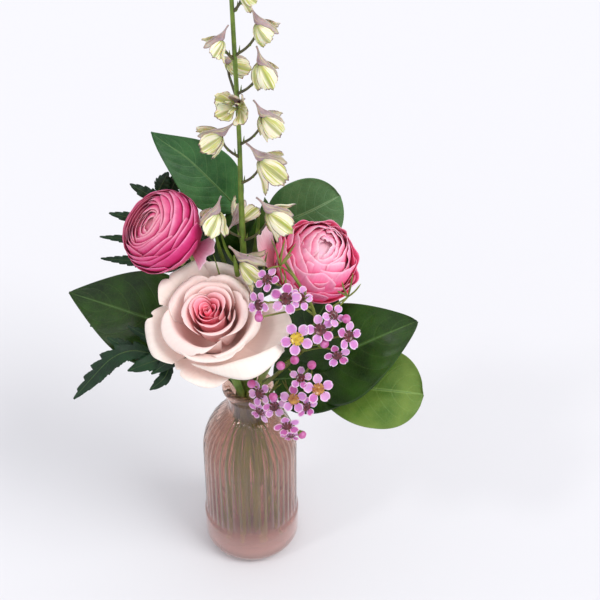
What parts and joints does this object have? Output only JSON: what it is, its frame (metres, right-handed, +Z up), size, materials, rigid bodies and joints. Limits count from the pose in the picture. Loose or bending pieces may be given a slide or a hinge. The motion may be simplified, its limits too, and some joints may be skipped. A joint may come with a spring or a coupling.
{
  "type": "rose in vase",
  "caption": "Cut rose with ranunculus, delphinium, waxflower and green foliage standing in a ribbed pink glass bottle vase part filled with water.",
  "frame": {"origin": "centre of the vase's flat foot, on the surface it stands on", "axes": "+Z up along the vase; +X to the right as seen from the side that the rose faces; -Y towards that side"},
  "size_m": [0.2371, 0.126, 0.4921],
  "materials": {
    "vase_glass": "translucent rose-pink ribbed glass, smooth at the foot",
    "water": "clear water, still surface",
    "rose_green": "smooth green rose stem and sepals",
    "ranunculus_green": "pale green hairy hollow stem",
    "rose_petals": "satin petals, coral pink at the heart to blush cream outside",
    "ranunculus_left_petals": "satin magenta pink petals with paler rims",
    "ranunculus_right_petals": "satin ruffled pink petals, deeper in the folds",
    "delphinium": "cream and pale green florets with mauve spurs on a green stem",
    "waxflower": "waxy mauve petals round a yellow or dark red cup, fine green twigs",
    "salal_leaf": "leathery dark green leaf, satin gloss, pale veins",
    "fern_leaf": "leathery deep green fern frond"
  },
  "bodies": {
    "root": {"vase": "vase_glass", "water": "water", "rose_stem": "rose_green", "ranunculus_left_stem": "ranunculus_green", "ranunculus_right_stem": "ranunculus_green", "rose_bloom": "rose_petals", "ranunculus_left_bloom": "ranunculus_left_petals", "ranunculus_right_bloom": "ranunculus_right_petals", "delphinium_spike": "delphinium", "waxflower_front": "waxflower", "waxflower_upper": "waxflower", "salal_back": "salal_leaf", "salal_left": "salal_leaf", "salal_right": "salal_leaf", "fern_low": "fern_leaf", "fern_back": "fern_leaf"}
  },
  "joints": []
}
